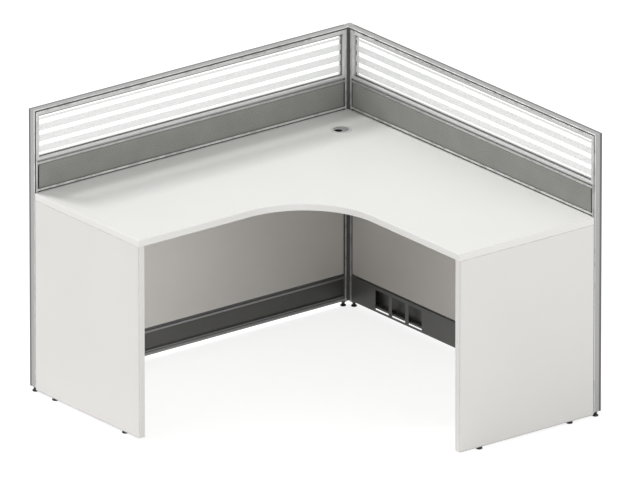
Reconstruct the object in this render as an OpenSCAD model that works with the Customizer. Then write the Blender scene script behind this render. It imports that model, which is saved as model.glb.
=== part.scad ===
// Corner workstation: an L-shaped worktop on two side gables, standing inside
// two aluminium-framed screens that meet at a corner post.
// Millimetres. The origin is on the floor at the middle of the plan, +Z is up.
// The left screen stands along X at the back (+Y), the right screen along Y at +X,
// and the user sits on the open side, towards -X and -Y.
// Every screen piece is drawn for the left screen, in screen places: u runs from the
// free end to the corner, v from the inner face to the outer face. The right
// screen is its mirror image across the diagonal through the corner.

/* [Overall] */
// Length of each wing, from the free end to the outer face of the other screen
wing_l = 1432; // [1200:1:1800]
// Height of the screens above the floor
screen_h = 1059; // [1030:1:1300]
// Thickness of a screen
screen_t = 32; // [30:1:40]
// Height of the worktop's top face
desk_h = 750; // [620:1:770]

/* [Worktop] */
// Depth of each wing of the worktop
wing_depth = 600; // [500:1:720]
// Thickness of the worktop board
top_t = 25; // [18:0.5:30]
// Radius of the curved inner edge where the two wings meet
inner_r = 300; // [150:1:400]
// Gap between the furniture boards and the screens
fit_gap = 2; // [1:0.5:4]

/* [Gables] */
// Thickness of a side gable
gable_t = 25; // [18:0.5:30]
// Height of a gable's lower edge above the floor
gable_z0 = 10; // [8:0.5:20]
// Distance of a gable's glides from its front and back edges
glide_inset = 98; // [60:1:150]

/* [Screen edges] */
// Thickness of the trims' lip, which closes the screen's edge
lip_w = 3; // [2:0.5:4]
// Width of the shadow groove behind the lip
neck_w = 5.5; // [4:0.5:8]
// Width of the frame's flange, which is flush with the faces
flange_w = 6; // [4:0.5:10]
// Width of the glass frame between the flange and the glass opening
reveal_w = 7.5; // [6:0.5:12]
// Depth of the grooves, which is also the thickness of the tiles
inset = 5; // [4:0.5:6]
// Wall of the aluminium extrusions
wall = 2; // [1.5:0.1:3]

/* [Screen heights] */
// Lower end of the upright posts above the floor
post_z0 = 19; // [17:0.5:30]
// Lower edge of the skirting above the floor
skirt_z0 = 23.5; // [21:0.5:34]
// Height of the fabric tile
fabric_h = 89; // [60:1:140]
// Height of the flange of the rail at desk level
desk_flange_h = 7.5; // [5:0.5:12]
// Height of that flange above the worktop
desk_flange_up = 4; // [2:0.5:8]
// Height of the flange of the middle rail
mid_flange_h = 8.5; // [6:0.5:12]
// Height of the shadow groove above the middle rail's flange
mid_groove_h = 7.5; // [4:0.5:10]
// Lower edge of the lower tile above the floor
lower_tile_z0 = 128; // [120:1:160]
// Gap round the tiles, which shows as a thin line
tile_gap = 1.5; // [0.5:0.5:3]

/* [Glass] */
// Thickness of the glass pane
glass_t = 5; // [4:1:8]
// Width of the black gasket strip along the glass
gasket_w = 3; // [2:0.5:5]
// Width of that strip along the top, where it shows below the frame
gasket_top_w = 8; // [3:0.5:12]
// Height of one frosted band
band_h = 24; // [10:0.5:30]
// Distance from one frosted band to the next
band_pitch = 40; // [30:0.5:60]
// Height of the narrow frosted band near the top of the glass
thin_band_h = 8; // [4:0.5:10]

/* [Raceway] */
// Height of the gap below the raceway beam's flange
beam_drop = 4; // [2:0.5:8]
// Height of the raceway beam's flange
beam_flange_h = 8; // [5:0.5:12]
// Lower face of the raceway beam above the floor
beam_z0 = 105; // [95:1:115]
// Depth of a set-back raceway cover behind the screen's face
cover_set = 7; // [6:0.5:9]
// Thickness of a raceway cover's sheet
sheet_t = 1.2; // [0.8:0.1:2]
// Width and height of a socket opening
socket_size = 75; // [60:1:80]
// Number of socket openings
socket_count = 3; // [1:1:4]
// Distance from one socket opening to the next
socket_pitch = 95; // [85:1:140]
// Distance from the corner to the first socket opening
socket_start = 156; // [40:1:400]

/* [Grommet] */
// Distance of the grommet's centre from each screen's inner face
grommet_in = 156; // [100:1:250]
// Diameter of the grommet's flange
grommet_d = 75; // [60:1:90]
// Width of the flange ring round the cap
grommet_rim = 10; // [6:0.5:14]
// Diameter of the notch in the cap, through which the cables pass
notch_d = 28; // [16:1:34]

/* [Feet] */
// Diameter of a screen foot's pad
pad_d = 22; // [16:1:26]
// Diameter of a foot's threaded stem
stem_d = 8; // [6:1:10]
// Diameter of a gable glide's pad
glide_d = 24; // [18:1:25]
// Travel of a foot between its two stops
foot_travel = 15; // [10:1:20]

/* [Hidden] */
SIDES = ["left", "right"];
SIDE_PARTS = ["top_trim", "end_trim", "top_rail", "end_upright", "corner_upright", "glass_frame",
    "glass_pane", "frosted_bands", "mid_rail", "desk_rail", "raceway_beam", "bottom_rail",
    "inner_fabric_tile", "outer_fabric_tile", "inner_lower_tile", "outer_lower_tile",
    "inner_raceway_cover", "outer_raceway_cover", "gable",
    "end_foot_pad", "end_foot_stem", "corner_foot_pad", "corner_foot_stem",
    "front_glide", "back_glide"];
SHARED_PARTS = ["glass_gaskets", "corner_post", "corner_cap", "worktop", "worktop_brackets",
    "gable_brackets", "bracket_screws", "grommet_ring", "grommet_cap", "foot_inserts"];
$fn = 64;
// How far a cut runs past the face it opens
overrun = 1;
// Gap between a piece and the seat it is carried on
seat_gap = 0.3;
// Radial play of a foot's stem in its insert and its pad
stem_play = 0.05;

// Plan sizes
half = wing_l / 2;
screen_l = wing_l - screen_t;
face = half - screen_t;
desk_back = face - fit_gap;
desk_front = desk_back - wing_depth;

// Distances from a screen's free edges, the same at its ends and at its top
neck_end = lip_w + neck_w;
flange_end = neck_end + flange_w;
opening = flange_end + reveal_w;
core_end = opening - tile_gap;
foot_in = (lip_w + wall + core_end - wall) / 2;

// Heights, from the worktop up and from the floor up
desk_flange_z0 = desk_h + desk_flange_up;
desk_flange_z1 = desk_flange_z0 + desk_flange_h;
fabric_z0 = desk_flange_z1 + tile_gap;
fabric_z1 = fabric_z0 + fabric_h;
mid_flange_z0 = fabric_z1 + tile_gap;
mid_flange_z1 = mid_flange_z0 + mid_flange_h;
glass_z0 = mid_flange_z1 + mid_groove_h + reveal_w;
glass_z1 = screen_h - opening;
tile_lap = 8;
desk_rail_depth = 55;
lower_tile_z1 = desk_h - tile_gap;
beam_flange_z0 = beam_z0 + beam_drop;
beam_flange_z1 = beam_flange_z0 + beam_flange_h;
beam_z1 = lower_tile_z0 + tile_lap;
bottom_rail_h = 20.5;
bottom_core_h = 8;
skirt_h = 11;
ledge_h = 4;
ledge_down = 2;
bottom_z1 = skirt_z0 + bottom_rail_h;
bottom_z0 = bottom_z1 - bottom_core_h;
skirt_z1 = skirt_z0 + skirt_h;
ledge_z1 = bottom_z1 - ledge_down;
ledge_z0 = ledge_z1 - ledge_h;
under_top = desk_h - top_t;

// Trims
lip_bevel = 1;
leg_t = 1.4;
leg_l = 6;
slot_w = 8;

// Glass
gasket_t = 2.5;
film_t = 0.3;
first_band_up = 27.5;
thin_band_down = 19;
band_count = floor((glass_z1 - glass_z0 - first_band_up) / band_pitch);

// Raceway covers
clip_gap = 0.5;
return_gap = 2;
cover_return = (screen_t - return_gap) / 2 - cover_set;
cover_clear = 2;
overlay_z1 = beam_flange_z1 + beam_drop;
overlay_in = 16;
socket_up = 9.5;
socket_z0 = skirt_z0 + socket_up;

// Brackets and screws
bracket_w = 60;
bracket_leg = 40;
bracket_t = 2.5;
screw_d = 4;
screw_l = 14;
screw_hole_d = 4.4;
screw_head_d = 8;
screw_head_h = 2.4;
screw_spread = 34;
screw_out = 26;
bracket_shares = [0.28, 0.7];

// Grommet
grommet_at = face - grommet_in;
grommet_lip_h = 2.5;
rim_over = 7.5;
sleeve_play = 0.5;
sleeve_d = grommet_d - 2 * rim_over;
sleeve_hole_d = sleeve_d + 2 * sleeve_play;
cap_t = 2;
cap_seat = 1;
cap_play = 0.4;
cap_d = grommet_d - 2 * grommet_rim - 2 * cap_play;
seat_in = 3;
notch_out_share = 0.2125;
notch_out = notch_out_share * cap_d;

// Feet
pad_rim_h = 3.5;
pad_h = 8;
pad_wall = 2.5;
pad_top_d = stem_d + 2 * pad_wall;
pad_floor = 2.5;
collar_out = 2.5;
collar_across = stem_d + 2 * collar_out;
collar_h = 7;
stem_engage = 10;
stem_in = foot_travel + stem_engage;
stem_room = 1;
collar_sides = 6;
insert_h = 18;
glide_rim_h = 4;
neck_out = 3;
glide_neck_d = stem_d + 2 * neck_out;
glide_stem_l = 28;
insert_wall = 2;
gable_insert_d = stem_d + 2 * insert_wall;
gable_insert_h = 25;
insert_end_room = 6;

// Places the children in the row frame as a piece of the named screen
module on_screen(side) {
    if (side == "left")
        translate([-half, face, 0]) children();
    else
        mirror([1, -1, 0]) translate([-half, face, 0]) children();
}

// Repeats a piece of the left wing on the right wing, in the row frame
module on_wing(side) {
    if (side == "left")
        children();
    else
        mirror([1, -1, 0]) children();
}

// A straight bar between two places along, across and up a screen
module bar(u, v, z) {
    translate([u[0], v[0], z[0]]) cube([u[1] - u[0], v[1] - v[0], z[1] - z[0]]);
}

// The same bar seen from the outer face
module outer_bar(u, v, z) {
    bar(u, [screen_t - v[1], screen_t - v[0]], z);
}

// An outline drawn along and up the screen, given its depth between two places across it
module slab(outline, v) {
    translate([0, v[1], 0]) rotate([90, 0, 0]) linear_extrude(v[1] - v[0]) polygon(outline);
}

// Cross-section of an upright or top rail: x is the distance from the screen's edge
module edge_section() {
    difference() {
        union() {
            translate([lip_w, inset]) square([core_end - lip_w, screen_t - 2 * inset]);
            translate([neck_end, 0]) square([flange_w, screen_t]);
        }
        translate([lip_w + wall, inset + wall])
            square([core_end - lip_w - 2 * wall, screen_t - 2 * (inset + wall)]);
        translate([lip_w - overrun, (screen_t - slot_w) / 2])
            square([wall + 2 * overrun, slot_w]);
    }
}

// Cross-section of a trim's lip, with its two outer edges bevelled
module lip_section() {
    polygon([[lip_bevel, 0], [lip_w, 0], [lip_w, screen_t], [lip_bevel, screen_t],
        [0, screen_t - lip_bevel], [0, lip_bevel]]);
}

// Extrudes a cross-section up the screen, from a height to the mitre at the top edge
module up_edge(z0, depth) {
    intersection() {
        translate([0, 0, z0]) linear_extrude(screen_h - z0) children();
        slab([[-overrun, z0 - overrun], [depth + overrun, z0 - overrun],
            [depth + overrun, screen_h - depth - overrun], [-overrun, screen_h + overrun]],
            [-overrun, screen_t + overrun]);
    }
}

// Extrudes a cross-section along the top edge, with its end mitred or square at the corner
module along_top(depth, corner_mitre) {
    u_low = corner_mitre ? screen_l - depth - overrun : screen_l + overrun;
    intersection() {
        translate([0, 0, screen_h]) rotate([0, 90, 0]) linear_extrude(screen_l) children();
        slab([[-overrun, screen_h + overrun], [screen_l + overrun, screen_h + overrun],
            [u_low, screen_h - depth - overrun], [depth + overrun, screen_h - depth - overrun]],
            [-overrun, screen_t + overrun]);
    }
}

// Mirrors a piece of the free end to the end at the corner
module at_corner_end() {
    translate([screen_l, 0, 0]) mirror([1, 0, 0]) children();
}

// The two legs that hold a trim in the slot of the frame
module trim_legs(u, z) {
    for (v = [(screen_t - slot_w) / 2, (screen_t + slot_w) / 2 - leg_t])
        bar(u, [v, v + leg_t], z);
}

module top_trim() {
    color("silver") {
        along_top(lip_w, false) lip_section();
        trim_legs([core_end, screen_l - core_end], [screen_h - lip_w - leg_l, screen_h - lip_w]);
    }
}

module end_trim() {
    color("silver") {
        up_edge(post_z0, lip_w) lip_section();
        trim_legs([lip_w, lip_w + leg_l], [post_z0 + stem_in + stem_room, screen_h - core_end]);
    }
}

module top_rail() {
    color("silver") along_top(core_end, true) edge_section();
}

module end_upright() {
    color("silver") up_edge(post_z0, core_end) edge_section();
}

module corner_upright() {
    color("silver") at_corner_end() up_edge(post_z0, core_end) edge_section();
}

// Corners of the glass frame's outline at a distance from the screen's edges
function frame_corners(d) = [[d, glass_z0 - opening + d], [screen_l - d, glass_z0 - opening + d],
    [screen_l - d, screen_h - d], [d, screen_h - d]];

// One mitred side of the glass frame between two of those outlines
module frame_side(i, d0, d1, v) {
    outer = frame_corners(d0);
    inner = frame_corners(d1);
    j = (i + 1) % 4;
    slab([outer[i], outer[j], inner[j], inner[i]], v);
}

// Four channel sections, mitred at the corners, that wrap the frame round the glass
module glass_frame() {
    color("lightgray") for (i = [0 : 3]) {
        frame_side(i, flange_end, opening, [0, inset]);
        frame_side(i, core_end, opening, [inset, screen_t - inset]);
        frame_side(i, flange_end, opening, [screen_t - inset, screen_t]);
    }
}

glass_v = [(screen_t - glass_t) / 2, (screen_t + glass_t) / 2];

module glass_pane() {
    color("azure", 0.4)
        bar([opening + seat_gap, screen_l - opening - seat_gap], glass_v,
            [glass_z0 + seat_gap, glass_z1 - seat_gap]);
}

// Black strips that bed the glass on both sides, in one ring for each side
module glass_gaskets() {
    color("black") for (side = SIDES) on_screen(side)
        for (v = [glass_v[0] - gasket_t, glass_v[1]]) difference() {
            bar([opening, screen_l - opening], [v, v + gasket_t], [glass_z0, glass_z1]);
            bar([opening + gasket_w, screen_l - opening - gasket_w],
                [v - overrun, v + gasket_t + overrun],
                [glass_z0 + gasket_w, glass_z1 - gasket_top_w]);
        }
}

// Frosted film on the inner side of the glass: broad bands from below, a narrow one on top
module frosted_bands() {
    u = [opening + gasket_w, screen_l - opening - gasket_w];
    v = [glass_v[0] - film_t, glass_v[0]];
    color("gainsboro") {
        for (i = [0 : band_count - 1]) {
            z = glass_z0 + first_band_up + i * band_pitch;
            bar(u, v, [z - band_h / 2, z + band_h / 2]);
        }
        z = glass_z1 - thin_band_down;
        bar(u, v, [z - thin_band_h / 2, z + thin_band_h / 2]);
    }
}

// A hollow rail between the uprights, from one height to another
module rail_core(z) {
    difference() {
        bar([core_end, screen_l - core_end], [inset, screen_t - inset], z);
        bar([core_end - overrun, screen_l - core_end + overrun],
            [inset + wall, screen_t - inset - wall], [z[0] + wall, z[1] - wall]);
    }
}

// A strip on a rail that comes flush with the screen's face, between the uprights' flanges
module rail_strip(z) {
    bar([flange_end, screen_l - flange_end], [0, inset], z);
}

module outer_rail_strip(z) {
    outer_bar([flange_end, screen_l - flange_end], [0, inset], z);
}

module mid_rail() {
    color("silver") {
        rail_core([fabric_z1 - tile_lap, glass_z0 - tile_gap]);
        rail_strip([mid_flange_z0, mid_flange_z1]);
        outer_rail_strip([mid_flange_z0, mid_flange_z1]);
    }
}

module desk_rail(side) {
    color("silver") difference() {
        union() {
            rail_core([desk_h - desk_rail_depth - top_t, fabric_z0 + tile_lap]);
            rail_strip([desk_flange_z0, desk_flange_z1]);
            outer_rail_strip([desk_flange_z0, desk_flange_z1]);
        }
        from_row(side) screw_holes();
    }
}

// The left raceway's beam shows a flange on both faces; the right one's inner face is
// behind the overlay cover and is bare
module raceway_beam(side) {
    color("silver") {
        rail_core([beam_z0, beam_z1]);
        if (side == "left") rail_strip([beam_flange_z0, beam_flange_z1]);
        outer_rail_strip([beam_flange_z0, beam_flange_z1]);
    }
}

// Lower skirt strip, shadow groove and ledge lip on one face of the bottom rail
module skirt() {
    u = [flange_end, screen_l - flange_end];
    bar(u, [0, inset], [skirt_z0, skirt_z1]);
    bar(u, [inset - wall, inset], [skirt_z1, ledge_z0]);
    bar(u, [0, inset], [ledge_z0, ledge_z1]);
}

module bottom_rail(side) {
    color("dimgray") {
        rail_core([bottom_z0, bottom_z1]);
        if (side == "left") skirt();
        translate([0, screen_t, 0]) mirror([0, 1, 0]) skirt();
    }
}

// A tile lies between the uprights, with its back on the rails
tile_u = [opening, screen_l - opening];

module inner_fabric_tile() {
    color("gray") bar(tile_u, [0, inset], [fabric_z0, fabric_z1]);
}

module outer_fabric_tile() {
    color("gray") outer_bar(tile_u, [0, inset], [fabric_z0, fabric_z1]);
}

module inner_lower_tile(side) {
    color("linen") difference() {
        bar(tile_u, [0, inset], [lower_tile_z0, lower_tile_z1]);
        from_row(side) screw_holes();
    }
}

module outer_lower_tile() {
    color("linen") outer_bar(tile_u, [0, inset], [lower_tile_z0, lower_tile_z1]);
}

// A set-back cover between the beam and the bottom rail: a sheet with two returns
module set_back_cover(u) {
    z = [bottom_z1 + clip_gap, beam_z0 - clip_gap];
    back = cover_set + cover_return;
    bar(u, [cover_set, cover_set + sheet_t], z);
    bar(u, [cover_set, back], [z[1] - sheet_t, z[1]]);
    bar(u, [cover_set, back], [z[0], z[0] + sheet_t]);
}

// A flat cover over the whole raceway, with the socket openings and a return at the top
module overlay_cover(u) {
    z = [skirt_z0 + clip_gap, overlay_z1];
    difference() {
        bar(u, [0, sheet_t], z);
        for (i = [0 : socket_count - 1]) {
            u1 = screen_l - socket_start - i * socket_pitch;
            bar([u1 - socket_size, u1], [-overrun, sheet_t + overrun],
                [socket_z0, socket_z0 + socket_size]);
        }
    }
    bar(u, [0, inset], [z[1] - sheet_t, z[1]]);
    bar(u, [0, inset], [z[0], z[0] + sheet_t]);
}

module inner_raceway_cover(side) {
    color("dimgray") {
        if (side == "left")
            set_back_cover([gable_t + cover_clear, screen_l - core_end - clip_gap]);
        else
            overlay_cover([gable_t + cover_clear, screen_l - overlay_in]);
    }
}

module outer_raceway_cover() {
    color("dimgray") translate([0, screen_t, 0]) mirror([0, 1, 0])
        set_back_cover([core_end + clip_gap, screen_l - core_end - clip_gap]);
}

// Square post in the corner, with a tongue against each screen's upright
module corner_post() {
    back = half - inset;
    hollow = face + inset + wall;
    color("silver") translate([0, 0, post_z0]) linear_extrude(screen_h - lip_w - post_z0)
        difference() {
            union() {
                translate([face - lip_w, face + inset])
                    square([inset + lip_w + wall, screen_t - 2 * inset]);
                translate([face + inset, face - lip_w])
                    square([screen_t - 2 * inset, inset + lip_w + wall]);
                translate([face + inset, face + inset]) square(screen_t - inset);
            }
            translate([hollow, hollow]) square(half - wall - hollow);
        }
}

// Cap over the corner post, flush with the two top trims, with a plug in the post
module corner_cap() {
    plug = face + inset + wall + seat_gap;
    color("silver") {
        translate([face, face, screen_h - lip_w]) linear_extrude(lip_w - lip_bevel) square(screen_t);
        translate([face, face, screen_h - lip_bevel]) linear_extrude(lip_bevel)
            square(screen_t - lip_bevel);
        translate([plug, plug, screen_h - lip_w - leg_l]) linear_extrude(leg_l)
            square(half - wall - seat_gap - plug);
    }
}

// The two bracket rows in the row frame, seen from the left wing: each child has its
// origin on the wall at the underside of the worktop, with -Y away from the wall
module at_worktop_brackets() {
    for (share = bracket_shares)
        translate([-half + share * screen_l, face, under_top]) children();
}

module at_gable_brackets() {
    for (share = bracket_shares)
        translate([gable_t - half, desk_front + share * wing_depth, under_top])
            rotate([0, 0, 90]) children();
}

// One angle bracket, with holes for its four screws
module angle_bracket() {
    difference() {
        union() {
            translate([-bracket_w / 2, -bracket_leg, -bracket_t])
                cube([bracket_w, bracket_leg, bracket_t]);
            translate([-bracket_w / 2, -bracket_t, -bracket_leg])
                cube([bracket_w, bracket_t, bracket_leg]);
        }
        screw_set(screw_hole_d, 0, bracket_t + overrun);
    }
}

// The four screws of a bracket, or the holes for them: two up and two into the wall
module screw_set(d, head_h, under) {
    for (x = [-screw_spread / 2, screw_spread / 2]) {
        translate([x, -screw_out, -bracket_t]) one_screw(d, head_h, under);
        translate([x, -bracket_t, -screw_out]) rotate([-90, 0, 0]) one_screw(d, head_h, under);
    }
}

// A screw along +Z, its head under the plane through the origin
module one_screw(d, head_h, under) {
    translate([0, 0, -under]) cylinder(d = d, h = screw_l + under);
    if (head_h > 0) translate([0, 0, -head_h])
        cylinder(d1 = screw_head_d - head_h, d2 = screw_head_d, h = head_h);
}

module worktop_brackets() {
    color("gray") for (side = SIDES) on_wing(side) at_worktop_brackets() angle_bracket();
}

module gable_brackets() {
    color("gray") for (side = SIDES) on_wing(side) at_gable_brackets() angle_bracket();
}

module bracket_screws() {
    color("silver") for (side = SIDES) on_wing(side) {
        at_worktop_brackets() screw_set(screw_d, screw_head_h, 0);
        at_gable_brackets() screw_set(screw_d, screw_head_h, 0);
    }
}

// The holes in the boards, tiles and rails for those screws, in the row frame
module screw_holes() {
    for (side = SIDES) on_wing(side) {
        at_worktop_brackets() screw_set(screw_hole_d, 0, overrun);
        at_gable_brackets() screw_set(screw_hole_d, 0, overrun);
    }
}

// Brings something placed in the row frame into a screen's own places
module from_row(side) {
    translate([half, -face, 0]) on_wing(side) children();
}

module worktop() {
    arc_at = desk_front - inner_r;
    color("whitesmoke") difference() {
        translate([0, 0, under_top]) linear_extrude(top_t) difference() {
            polygon([[-half, desk_back], [desk_back, desk_back], [desk_back, -half],
                [desk_front, -half], [desk_front, arc_at], [arc_at, arc_at],
                [arc_at, desk_front], [-half, desk_front]]);
            translate([arc_at, arc_at]) circle(r = inner_r, $fn = 128);
            translate([grommet_at, grommet_at]) circle(d = sleeve_hole_d);
        }
        screw_holes();
    }
}

// Side gable of the left wing, with screw holes and a hole for each glide
module gable() {
    color("gainsboro") difference() {
        translate([-half, desk_front, gable_z0])
            cube([gable_t, wing_depth, under_top - gable_z0]);
        screw_holes();
        for (y = glide_places()) translate([gable_t / 2 - half, y, gable_z0]) {
            translate([0, 0, -overrun]) cylinder(d = gable_insert_d, h = gable_insert_h + overrun);
            cylinder(d = stem_d + stem_room, h = gable_z0 + glide_stem_l + insert_end_room);
        }
    }
}

function glide_places() = [desk_front + glide_inset, desk_back - glide_inset];

// One-piece glide under a gable: pad, neck and threaded stem
module glide(y) {
    color("black") translate([gable_t / 2 - half, y, 0]) {
        cylinder(d = glide_d, h = glide_rim_h);
        translate([0, 0, glide_rim_h])
            cylinder(d1 = glide_d, d2 = glide_neck_d, h = gable_z0 - seat_gap - glide_rim_h);
        cylinder(d = stem_d, h = gable_z0 + glide_stem_l);
    }
}

// Screen foot, in screen places: a pad with a socket for the stem's end
module foot_pad() {
    color("black") translate([foot_in, screen_t / 2, 0]) difference() {
        union() {
            cylinder(d = pad_d, h = pad_rim_h);
            translate([0, 0, pad_rim_h]) cylinder(d1 = pad_d, d2 = pad_top_d, h = pad_h - pad_rim_h);
        }
        translate([0, 0, pad_floor])
            cylinder(d = stem_d + 2 * stem_play, h = pad_h - pad_floor + overrun);
    }
}

// Threaded stem with a hexagonal collar, which stops against the upright's lower end
module foot_stem() {
    color("darkslategray") translate([foot_in, screen_t / 2, 0]) {
        translate([0, 0, pad_floor + stem_play])
            cylinder(d = stem_d, h = post_z0 + stem_in - pad_floor - stem_play);
        translate([0, 0, post_z0 - seat_gap - collar_h])
            cylinder(d = collar_across / cos(180 / collar_sides), h = collar_h, $fn = collar_sides);
    }
}

// Threaded inserts: a block in each upright's lower end and a barrel in each gable
module foot_inserts() {
    block = [core_end - lip_w - 2 * wall, screen_t - 2 * (inset + wall), insert_h];
    color("silver") for (side = SIDES) {
        on_screen(side) for (u = [foot_in, screen_l - foot_in])
            translate([u, screen_t / 2, post_z0]) difference() {
                translate([-block[0] / 2, -block[1] / 2, 0]) cube(block);
                translate([0, 0, -overrun])
                    cylinder(d = stem_d + 2 * stem_play, h = insert_h + 2 * overrun);
            }
        on_wing(side) for (y = glide_places())
            translate([gable_t / 2 - half, y, gable_z0]) difference() {
                cylinder(d = gable_insert_d, h = gable_insert_h);
                translate([0, 0, -overrun])
                    cylinder(d = stem_d + 2 * stem_play, h = gable_insert_h + 2 * overrun);
            }
    }
}

// Sleeve through the worktop with a flange on top and a seat for the cap
module grommet_ring() {
    bore_d = grommet_d - 2 * grommet_rim;
    color("gainsboro") translate([grommet_at, grommet_at, desk_h]) difference() {
        union() {
            cylinder(d1 = grommet_d, d2 = grommet_d - grommet_lip_h, h = grommet_lip_h);
            translate([0, 0, -top_t]) cylinder(d = sleeve_d, h = top_t + grommet_lip_h);
        }
        translate([0, 0, cap_seat - cap_t]) cylinder(d = bore_d, h = cap_t + grommet_lip_h);
        translate([0, 0, -top_t - overrun])
            cylinder(d = bore_d - 2 * seat_in, h = top_t + overrun + grommet_lip_h);
    }
}

// Turning cap with a notch for the cables, open to its rim
module grommet_cap() {
    color("silver") translate([grommet_at, grommet_at, desk_h + cap_seat - cap_t + seat_gap])
        difference() {
            cylinder(d = cap_d, h = cap_t - seat_gap);
            translate([-notch_out, 0, -overrun]) cylinder(d = notch_d, h = cap_t + 2 * overrun);
            translate([-cap_d, -notch_d / 2, -overrun])
                cube([cap_d - notch_out, notch_d, cap_t + 2 * overrun]);
        }
}

module side_part(side, part) {
    if (part == "top_trim") on_screen(side) top_trim();
    if (part == "end_trim") on_screen(side) end_trim();
    if (part == "top_rail") on_screen(side) top_rail();
    if (part == "end_upright") on_screen(side) end_upright();
    if (part == "corner_upright") on_screen(side) corner_upright();
    if (part == "glass_frame") on_screen(side) glass_frame();
    if (part == "glass_pane") on_screen(side) glass_pane();
    if (part == "frosted_bands") on_screen(side) frosted_bands();
    if (part == "mid_rail") on_screen(side) mid_rail();
    if (part == "desk_rail") on_screen(side) desk_rail(side);
    if (part == "raceway_beam") on_screen(side) raceway_beam(side);
    if (part == "bottom_rail") on_screen(side) bottom_rail(side);
    if (part == "inner_fabric_tile") on_screen(side) inner_fabric_tile();
    if (part == "outer_fabric_tile") on_screen(side) outer_fabric_tile();
    if (part == "inner_lower_tile") on_screen(side) inner_lower_tile(side);
    if (part == "outer_lower_tile") on_screen(side) outer_lower_tile();
    if (part == "inner_raceway_cover") on_screen(side) inner_raceway_cover(side);
    if (part == "outer_raceway_cover") on_screen(side) outer_raceway_cover();
    if (part == "gable") on_wing(side) gable();
    if (part == "end_foot_pad") on_screen(side) foot_pad();
    if (part == "end_foot_stem") on_screen(side) foot_stem();
    if (part == "corner_foot_pad") on_screen(side) at_corner_end() foot_pad();
    if (part == "corner_foot_stem") on_screen(side) at_corner_end() foot_stem();
    if (part == "front_glide") on_wing(side) glide(glide_places()[0]);
    if (part == "back_glide") on_wing(side) glide(glide_places()[1]);
}

for (side = SIDES) for (part = SIDE_PARTS)
    side_part(side, part);
glass_gaskets();
corner_post();
corner_cap();
worktop();
worktop_brackets();
gable_brackets();
bracket_screws();
grommet_ring();
grommet_cap();
foot_inserts();
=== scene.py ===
# %% [markdown]
# A corner workstation is an L-shaped worktop inside two framed screens. This lesson dresses its
# measured model piece by piece. The measured model is loaded first and never moved, so every
# new surface is worked out from the same places and needs no fitting afterwards.

# %% Load the measured model
import math
import bmesh
import bpy
import numpy as np
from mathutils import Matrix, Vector
from mathutils.geometry import tessellate_polygon


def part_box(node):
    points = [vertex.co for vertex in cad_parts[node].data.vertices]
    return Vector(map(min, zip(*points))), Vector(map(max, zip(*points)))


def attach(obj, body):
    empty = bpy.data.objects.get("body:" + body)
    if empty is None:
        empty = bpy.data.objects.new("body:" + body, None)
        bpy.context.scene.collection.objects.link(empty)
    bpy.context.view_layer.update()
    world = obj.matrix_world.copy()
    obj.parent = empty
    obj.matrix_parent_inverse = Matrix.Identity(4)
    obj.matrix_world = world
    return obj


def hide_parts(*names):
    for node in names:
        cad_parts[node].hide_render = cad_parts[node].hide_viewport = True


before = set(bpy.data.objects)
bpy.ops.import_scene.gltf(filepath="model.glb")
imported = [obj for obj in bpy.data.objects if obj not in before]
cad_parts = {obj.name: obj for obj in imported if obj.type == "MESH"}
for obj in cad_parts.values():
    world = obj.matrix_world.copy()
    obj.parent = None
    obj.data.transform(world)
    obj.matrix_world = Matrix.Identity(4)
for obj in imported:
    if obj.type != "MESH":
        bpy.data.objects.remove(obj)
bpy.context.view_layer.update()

# %% [markdown]
# Each screen has its own places: along it from the free end to the corner, across it from the
# inner to the outer face, and up. The right screen is the left one with X and Y swapped. Such
# thin profiles are easier to read in millimetres, and one factor turns them into metres.

# %% The places of a screen
MM = 0.001
SIDES = ("left", "right")
trim_low, trim_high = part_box("left_top_trim")
HALF, FACE, TOP = -trim_low.x, trim_low.y, trim_high.z
LENGTH, THICK = trim_high.x - trim_low.x, trim_high.y - trim_low.y


def in_plan(x, y, up):
    """Places in the frame, of numbers or arrays."""
    return np.stack(np.broadcast_arrays(x, y, up), axis=-1)


def on_wing(side, x, y, up):
    """Places on the left wing, or their mirror images on the right one, where X and Y change."""
    return in_plan(x, y, up) if side == "left" else in_plan(y, x, up)


def on_screen(side, along, across, up):
    """Places on a screen: X = along - half the plan, Y = the inner face + across."""
    return on_wing(side, along - HALF, across + FACE, up)


def from_face(side, face):
    """A function (along, across, up) of places measured across from one face of a screen."""
    return lambda along, across, up: on_screen(
        side, along, across if face == "inner" else THICK - across, up)


print("screen", round(LENGTH, 3), "x", round(TOP, 3), "x", round(THICK, 3))

# %% [markdown]
# No edge of real metal, laminate or plastic is perfectly sharp, and a small round edge is what
# catches the light. An outline drawn with straight lines gets its corners replaced by arcs: the
# arc starts and ends at radius times the tangent of half the turn from the corner.

# %% Round the corners of an outline
ARC_STEPS = 4


def rounded(corners, radii):
    """A closed outline with arcs at its corners. With b the direction into a corner, n the normal
    on the side it turns to and t the turn, an arc point is start + r (b sin a + n (1 - cos a))
    for a from 0 to t. Points that coincide are left out."""
    corners = np.asarray(corners, float)
    radii = np.broadcast_to(radii, len(corners)).astype(float)[:, None, None]
    back = corners - np.roll(corners, 1, axis=0)
    ahead = np.roll(corners, -1, axis=0) - corners
    back /= np.linalg.norm(back, axis=1, keepdims=True)
    ahead /= np.linalg.norm(ahead, axis=1, keepdims=True)
    turn = np.arctan2(back[:, 0] * ahead[:, 1] - back[:, 1] * ahead[:, 0], (back * ahead).sum(1))
    normal = np.stack([-back[:, 1], back[:, 0]], 1) * np.sign(turn)[:, None]
    start = corners - back * radii[:, 0] * np.tan(np.abs(turn) / 2)[:, None]
    angle = np.linspace(0, 1, ARC_STEPS + 1)[None, :, None] * np.abs(turn)[:, None, None]
    arc = radii * (back[:, None] * np.sin(angle) + normal[:, None] * (1 - np.cos(angle)))
    points = (start[:, None] + arc).reshape(-1, 2)
    return points[np.linalg.norm(points - np.roll(points, 1, axis=0), axis=1) > 1e-7]


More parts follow.
